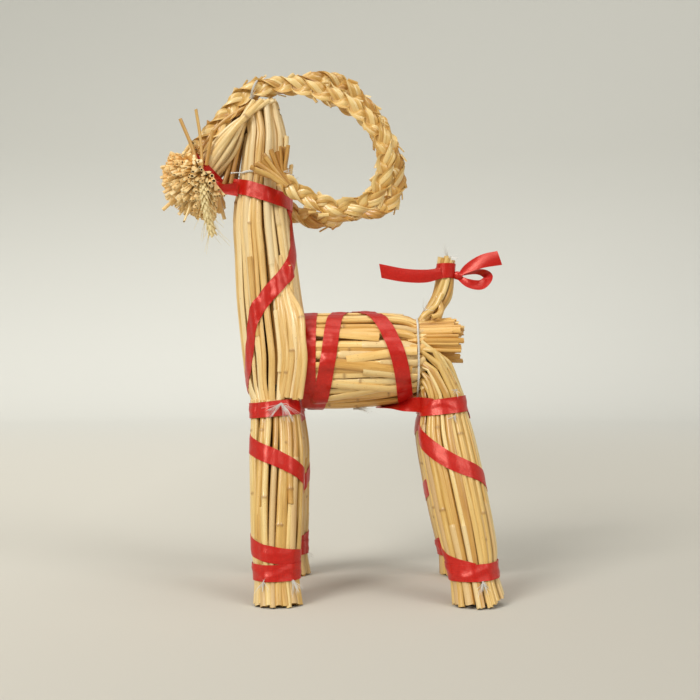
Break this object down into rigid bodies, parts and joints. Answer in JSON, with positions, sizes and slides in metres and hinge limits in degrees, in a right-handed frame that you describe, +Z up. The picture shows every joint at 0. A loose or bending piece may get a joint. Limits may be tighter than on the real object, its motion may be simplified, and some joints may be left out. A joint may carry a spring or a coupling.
{
  "type": "straw goat ornament",
  "caption": "Standing goat figure of bundled straw with two looped plaited horns, ribbon wraps, string ties and a tied tail.",
  "frame": {"origin": "centre of the bounding box, at the floor under the feet", "axes": "+Z up, the goat faces -X, its left side is -Y"},
  "size_m": [0.2204, 0.1318, 0.3358],
  "materials": {
    "straw": "dried rye straw, satin gloss",
    "plait": "flattened plaited straw, satin gloss",
    "ribbon": "red satin ribbon",
    "string": "white polypropylene string"
  },
  "bodies": {
    "root": {"neck_and_head_bundle": "straw", "body_bundle": "straw", "foreleg_left": "straw", "foreleg_right": "straw", "hind_leg_left": "straw", "hind_leg_right": "straw", "tail": "straw", "horn_left": "plait", "horn_right": "plait", "wheat_ear": "plait", "stem_1": "plait", "stem_2": "plait", "stem_3": "plait", "stem_4": "plait", "neck_ribbon": "ribbon", "body_ribbon": "ribbon", "foreleg_ribbon_left": "ribbon", "foreleg_ribbon_right": "ribbon", "hind_leg_ribbon_left": "ribbon", "hind_leg_ribbon_right": "ribbon", "tail_bow": "ribbon", "body_string": "string", "neck_string": "string", "crown_string": "string"}
  },
  "joints": []
}
